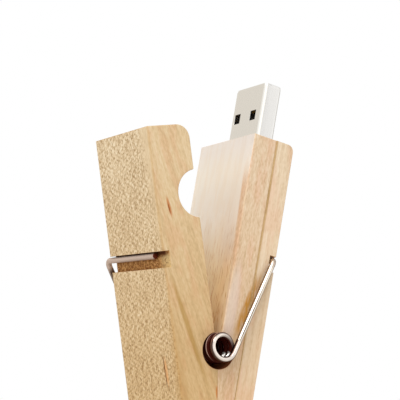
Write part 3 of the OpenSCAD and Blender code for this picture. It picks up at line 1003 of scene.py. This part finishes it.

# %% [markdown]
# ## The wire's finish
# The wire is bright drawn steel with a thin nickel plate, so it mirrors the room and shows
# faint smears where fingers touched it. Its arms get a painted reflection, a pale band and a dark
# line along their front, and painted shade on their sides towards the wood, and its hooks are
# dull with dust. A wire has no broad faces, so what divides it is how far a spot lies from the
# coil's axis, how far across the pin, and which way it looks.

# %% Spring wire: hooks and arms
# Drawn steel under thin nickel: a warm mirror, with painted shade and highlights.
wire_steel, tree, shader = new_finish("nickel_plated_wire")
place = leg_place(tree, "drive_leg")
parts = add_node(tree, "SeparateXYZ", {"Vector": place})
smears = grains(tree, place, (1.5, 1.5, 1.5), 0, 3)
tone = add_node(tree, "ValToRGB", {"Fac": smears})
set_ramp(tone, ((0.3, "#b8a798"), (0.7, "#cbbcae")))
off_middle = add_node(tree, "Math", {0: (parts, "Y")}, operation="ABSOLUTE")
radius = from_axis(tree, parts)
at_hook = (radius, 21, 22.6)
dusty_hook = at_hook, ((parts, "Y"), -11.5, -9.5)
tone = stain(tree, tone, "#cbb5a6", *dusty_hook, most=0.9)

point = add_node(tree, "TexCoord", {})
looks = add_node(tree, "SeparateXYZ", {"Vector": (point, "Normal")})
across = add_node(tree, "Math", {0: (parts, "Y")}, operation="SIGN")
outward = add_node(tree, "Math", {0: across, 1: (looks, "Y")}, operation="MULTIPLY")
clear_of_leg = (off_middle, LEG_HALF_W - 0.5, LEG_HALF_W)
on_arm = (radius, 23.2, 21.8)
front_of_arm = (clear_of_leg, on_arm, (radius, BED_R, BED_R + 2))
# Painted reflection and shade on the arms: a pale band on their front, painted shade towards the
# wood.
tone = stain(tree, tone, "#ded3c4", (outward, 0.3, 0.6), *front_of_arm, most=0.9)
tone = stain(tree, tone, "#4a2a18", (outward, 0.4, 0.1), *front_of_arm, most=0.4)
tone = stain(tree, tone, "#3a2014", (outward, -0.2, -0.6), *front_of_arm, most=0.85)
turned = add_node(tree, "Math", {0: across, 1: (looks, "X")}, operation="MULTIPLY")
# A painted dark reflection line along the front of each arm.
dark_reflection_line = ((outward, 0.7, 0.9), (turned, -0.04, 0.06), (turned, 0.32, 0.2), (radius, 20, 11))
tone = stain(tree, tone, "#2e241e", *dark_reflection_line, *front_of_arm, most=0.95)
print("hooks and arms:", len(tree.nodes), "nodes")

# %% [markdown]
# The turns near both ends of the coil are painted nearly black and less metallic, as the shade
# inside the coil, except on a thin line of painted highlight and on two painted highlight spots of
# bright metal, where glints of the lamps fall in the mouth of the coil. The outermost turn has a
# painted highlight along its crest and painted shade on its flanks, and the sheared ends of the
# wire have no plate.

# %% Spring wire: coil and ends
GLINT_SPOTS = ((1.92, -11.9, -0.49), (1.92, -10.1, -0.49))
GLINT_SPOT_HALF = (0.9, 0.7, 0.9)

in_coil = (radius, BED_R + 0.5, BED_R)
# Painted shade on the flanks of the outermost turns, and a painted highlight along their crest.
tone = stain(tree, tone, "#3a1a10", in_coil, (outward, 0.95, 0.7), clear_of_leg, most=0.9)
tone = stain(tree, tone, "#efe4da", in_coil, (outward, 0.75, 0.95), clear_of_leg, most=0.9)
# Painted shade on the turns near both ends of the coil: nearly black, and less metallic below.
inner_turn_shade = (in_coil, (off_middle, LEG_HALF_W + 2.3, LEG_HALF_W + 1.5), (off_middle, 5, 7))
tone = stain(tree, tone, "#3a1009", *inner_turn_shade)
# A thin painted highlight line on those shaded turns.
highlight_line = ((radius, COIL_R, COIL_R + 0.5), (outward, 0.05, 0.25), (outward, 0.5, 0.3))
tone = stain(tree, tone, "#d9b3a3", *inner_turn_shade, *highlight_line, most=0.85)
dusty = passed(tree, dusty_hook)
metal = add_node(tree, "Math", {0: dusty, 1: -0.6, 2: 1}, operation="MULTIPLY_ADD")
in_inner_turn_shade = passed(tree, inner_turn_shade)
metal = add_node(tree, "Math", {0: in_inner_turn_shade, 1: -0.9, 2: metal}, operation="MULTIPLY_ADD")
# Two painted highlight spots of bright metal, where glints of the lamps fall in the mouth of the
# coil.
for middle in GLINT_SPOTS:
    glint_spot = inside(tree, place, middle, GLINT_SPOT_HALF)
    tone = stain(tree, tone, "#f4efe8", glint_spot)
    metal = add_node(tree, "Math", {0: metal, 1: passed(tree, (glint_spot,))}, operation="MAXIMUM")

leg_side = add_node(tree, "Math", {0: (parts, "X")}, operation="SIGN")
past = add_node(tree, "Math", {0: leg_side, 1: (parts, "Y")}, operation="MULTIPLY")
tone = stain(tree, tone, "#6b3020", at_hook, (past, HOOK_PAST - 0.15, HOOK_PAST - 0.08))
rough = add_node(tree, "MapRange", {"Value": smears, "To Min": 0.1, "To Max": 0.22})
rough = add_node(tree, "Math", {0: dusty, 1: 0.35, 2: rough}, operation="MULTIPLY_ADD")
fill(tree, shader, {"Base Color": tone, "Roughness": rough, "Metallic": metal})
fill(tree, shader, {"Specular Tint": linear("#a8927f"), "Specular IOR Level": 0.15})
put_on(wire_steel, spring)

# %% [markdown]
# ## The shell's finish
# The plug's shell is nickel-plated sheet, duller than the wire, with lines from the rolling mill
# along its length. They are drawn about ten times as wide as real ones, which are too fine to
# show. An anisotropic shader could imply them, but then the faces would look alike. The wide
# faces are a little browner, a painted reflection of the wood, the folded corners on the side of
# the jaw carry a painted highlight, and those on the other side are darker.

# %% Plug shell
# Rolled sheet under dull nickel: a soft mirror, with its lines along the plug.
sheet_steel, tree, shader = new_finish("nickel_plated_sheet")
place = leg_place(tree, "drive_leg")
lines = grains(tree, place, (0.3, 0.3, 9), 0, 2)
rough = add_node(tree, "MapRange", {"Value": lines, "To Min": 0.24, "To Max": 0.32})
bump = add_node(tree, "Bump", {"Height": lines, "Strength": 0.03, "Distance": 0.002 * MM})
tone = add_node(tree, "ValToRGB", {"Fac": lines})
set_ramp(tone, ((0.3, "#d9d7d3"), (0.7, "#dddbd8")))
wide_face = add_node(tree, "Math", {0: looks_along(tree, "drive_leg", 1, 0)}, operation="ABSOLUTE")
# Painted reflection of the wood on the wide faces.
tone = stain(tree, tone, "#d9d2c6", (wide_face, 0.7, 0.95))
to_jaw = looks_along(tree, "drive_leg", -1, 0)
# Painted highlight on the folded corners on the side of the jaw.
tone = stain(tree, tone, "#ebe8e1", (to_jaw, 0.1, 0.35), (to_jaw, 0.995, 0.93))
tone = stain(tree, tone, "#cbc7c0", (to_jaw, -0.15, -0.5))
fill(tree, shader, {"Base Color": tone, "Metallic": 1, "Roughness": rough, "Normal": bump})
put_on(sheet_steel, shell)

# %% [markdown]
# ## The contacts' finish
# Each contact strip is plated with gold only where a socket wipes it, at the front of the plug.
# Two materials would need a cut across each strip, so one material changes colour along it. The
# scratches of the socket are drawn coarser than real ones, so that they show.

# %% Contacts
# Hard gold where a socket wipes the strips, bright from every insertion, and dull nickel behind.
GOLD_L = 5.4
gold_plate, tree, shader = new_finish("gold_plate_over_nickel")
place = leg_place(tree, "drive_leg")
parts = add_node(tree, "SeparateXYZ", {"Vector": place})
wiped = grains(tree, place, (0.15, 0.15, 4), 0, 2)
tone = add_node(tree, "ValToRGB", {"Fac": wiped})
set_ramp(tone, ((0.3, "#cf9f45"), (0.7, "#e8c06a")))
behind = ((parts, "Z"), PLUG_TIP - GOLD_L, PLUG_TIP - GOLD_L - 0.3)
tone = stain(tree, tone, "#6d6863", behind)
rough = add_node(tree, "MapRange", {"Value": wiped, "To Min": 0.18, "To Max": 0.32})
fill(tree, shader, {"Base Color": tone, "Metallic": 1, "Roughness": rough})
put_on(gold_plate, contacts)

# %% [markdown]
# ## Small finishes
# What is left is moulded, plated or soldered, and most of it is sealed in the leg. Each is a
# plain stuff with a fine mottle at its own scale, so one function makes them all.


# %% Mottled finishes
def mottled(name, dark, light, grain, metallic, roughness, relief):
    """A plain stuff whose tone wanders from dark to light over grains of this size in mm."""
    material, tree, shader = new_finish(name)
    place = leg_place(tree, "drive_leg")
    mottle = grains(tree, place, (grain, grain, grain))
    tone = add_node(tree, "ValToRGB", {"Fac": mottle})
    set_ramp(tone, ((0.3, dark), (0.7, light)))
    bump = add_node(tree, "Bump", {"Height": mottle, "Strength": 0.3, "Distance": relief * MM})
    fill(tree, shader, {"Base Color": tone, "Normal": bump})
    fill(tree, shader, {"Metallic": metallic, "Roughness": roughness})
    return material


nodes = frame["nodes"]
# Hide glue darkens as it sets and squeezes into the grain of the seam.
put_on(mottled("wood_glue", "#bd9660", "#d6b27a", 0.6, 0, 0.5, 0.03), nodes["seam_glue"])
# Glass-filled PBT, moulded black with a fine spark-eroded texture.
put_on(mottled("black_pbt", "#121110", "#1f1d1b", 0.08, 0, 0.45, 0.01), tongue)
# Solder mask over woven glass, green and half glossy.
put_on(mottled("solder_mask", "#14492f", "#1f6341", 0.35, 0, 0.35, 0.02), nodes["circuit_board"])
# Black epoxy moulding compound, matt and finely pitted.
put_on(
    mottled("chip_epoxy", "#1b1c1e", "#2a2b2d", 0.06, 0, 0.6, 0.008),
    nodes["flash_chip"],
    nodes["controller_chip"],
)
# Matt tin plating and solder, crystalline and softly shiny.
put_on(
    mottled("matt_tin", "#b4b4b2", "#cfcfcc", 0.15, 1, 0.38, 0.006),
    nodes["flash_chip_leads"],
    nodes["controller_leads"],
    nodes["capacitor_ends"],
    nodes["resistor_ends"],
    nodes["contact_solder"],
    nodes["shell_solder"],
)
# Lid of an iron and nickel alloy, plated and lapped, so it shines softly.
put_on(mottled("plated_lid", "#bdb7ae", "#d0cac1", 0.3, 1, 0.3, 0.004), nodes["crystal_lid"])
# Fired alumina, off-white and faintly grainy.
put_on(
    mottled("alumina", "#d9d3c6", "#eae5da", 0.1, 0, 0.55, 0.006),
    nodes["crystal_base"],
    nodes["resistor_bodies"],
)
# Barium titanate ceramic, tan brown and slightly waxy.
put_on(mottled("brown_ceramic", "#8a6a48", "#a98560", 0.1, 0, 0.4, 0.004), nodes["capacitor_bodies"])
# Closed-cell foam tape, pale grey with small cells.
put_on(mottled("foam_tape", "#c9c9c4", "#e6e6e1", 0.25, 0, 0.85, 0.08), nodes["foam_tape_pad"])
print("materials:", len([m for m in bpy.data.materials if m.users]))

# %% [markdown]
# ## Floor
# The pin stands on a pale floor, as on a roll of paper in a photographer's studio. It is a plane
# that reaches past every view.

# %% Floor
FLOOR_SIZE = 6
MOTTLES_PER_METRE = 300
bpy.ops.object.select_all(action="DESELECT")
bpy.ops.mesh.primitive_plane_add(size=FLOOR_SIZE)
floor = bpy.context.object
floor.name = "floor"
# White drawing paper: matt, with a faint mottle.
paper, tree, shader = new_finish("white_paper")
place = add_node(tree, "TexCoord", {})
sockets = {"Vector": (place, "Object"), "Scale": MOTTLES_PER_METRE, "Detail": 2}
mottle = add_node(tree, "TexNoise", sockets)
tone = add_node(tree, "ValToRGB", {"Fac": mottle})
set_ramp(tone, ((0.3, "#dad8d4"), (0.7, "#e0deda")))
fill(tree, shader, {"Base Color": tone, "Roughness": 0.9})
put_on(paper, floor)

# %% [markdown]
# ## Room
# A world of strength 1 is white to the camera, and metal has to mirror that same white. As light
# it is turned down, so that the lamps can model the wood. The light path tells the two apart.

# %% World
ROOM_FILL = 0.607
world = bpy.data.worlds.new("white_room")
bpy.context.scene.world = world
world.use_nodes = True
tree = world.node_tree
tree.nodes.clear()
ray = add_node(tree, "LightPath", {})
seen = add_node(
    tree, "Math", {0: (ray, "Is Camera Ray"), 1: (ray, "Is Glossy Ray")}, operation="MAXIMUM"
)
seen = add_node(tree, "Math", {0: seen, 1: (ray, "Is Transmission Ray")}, operation="MAXIMUM")
strength = add_node(tree, "MapRange", {"Value": seen, "To Min": ROOM_FILL, "To Max": 1})
room = add_node(tree, "Background", {"Color": (1, 1, 1, 1), "Strength": strength})
add_node(tree, "OutputWorld", {"Surface": room})
print("room fill:", ROOM_FILL)

# %% [markdown]
# ## Lamps
# A soft lamp high up reaches between the open jaws, one at the left lights the broad outer face,
# and weak ones at the front and the right keep the narrow sides and the near side of the plug
# bright. A small one lays the highlight along the wire. They stand about two metres away, so the
# floor is lit evenly. The metal doesn't mirror the left lamp, which would bleach the flat side of
# the plug. Each row gives a lamp's place, width and height in metres, and its level.

# %% Lamps
AIM = Vector((0, 0, 0.06))
LAMPS = (
    ("high", (-0.875, -1, 2.185), 1.25, 1.25, 0.515),
    ("front", (-1.325, -2.05, 0.76), 2.8, 1.3, 0.05),
    ("right", (1.5, -1.125, 0.535), 1.25, 1, 0.04),
    ("wire", (-0.275, -1.925, 1.635), 0.625, 0.625, 0.05),
    ("left", (-2.25, -0.5, 1.035), 1.875, 1.875, 0.228),
)


def soft_lamp(name, place, width, height, level):
    """Lamp aimed at the pin, whose watts give this level on a face that looks at it."""
    place = Vector(place)
    turn = (AIM - place).to_track_quat("-Z", "Y").to_euler()
    bpy.ops.object.light_add(type="AREA", location=place, rotation=turn)
    lamp = bpy.context.object
    lamp.name = name
    lamp.data.shape = "RECTANGLE"
    lamp.data.size = width
    lamp.data.size_y = height
    lamp.data.energy = level * math.pi**2 * (AIM - place).length_squared
    print(name, round(lamp.data.energy, 2), "W")
    return lamp


lamps = {row[0]: soft_lamp(*row) for row in LAMPS}
lamps["left"].visible_glossy = False
bpy.context.scene.view_settings.view_transform = "Standard"
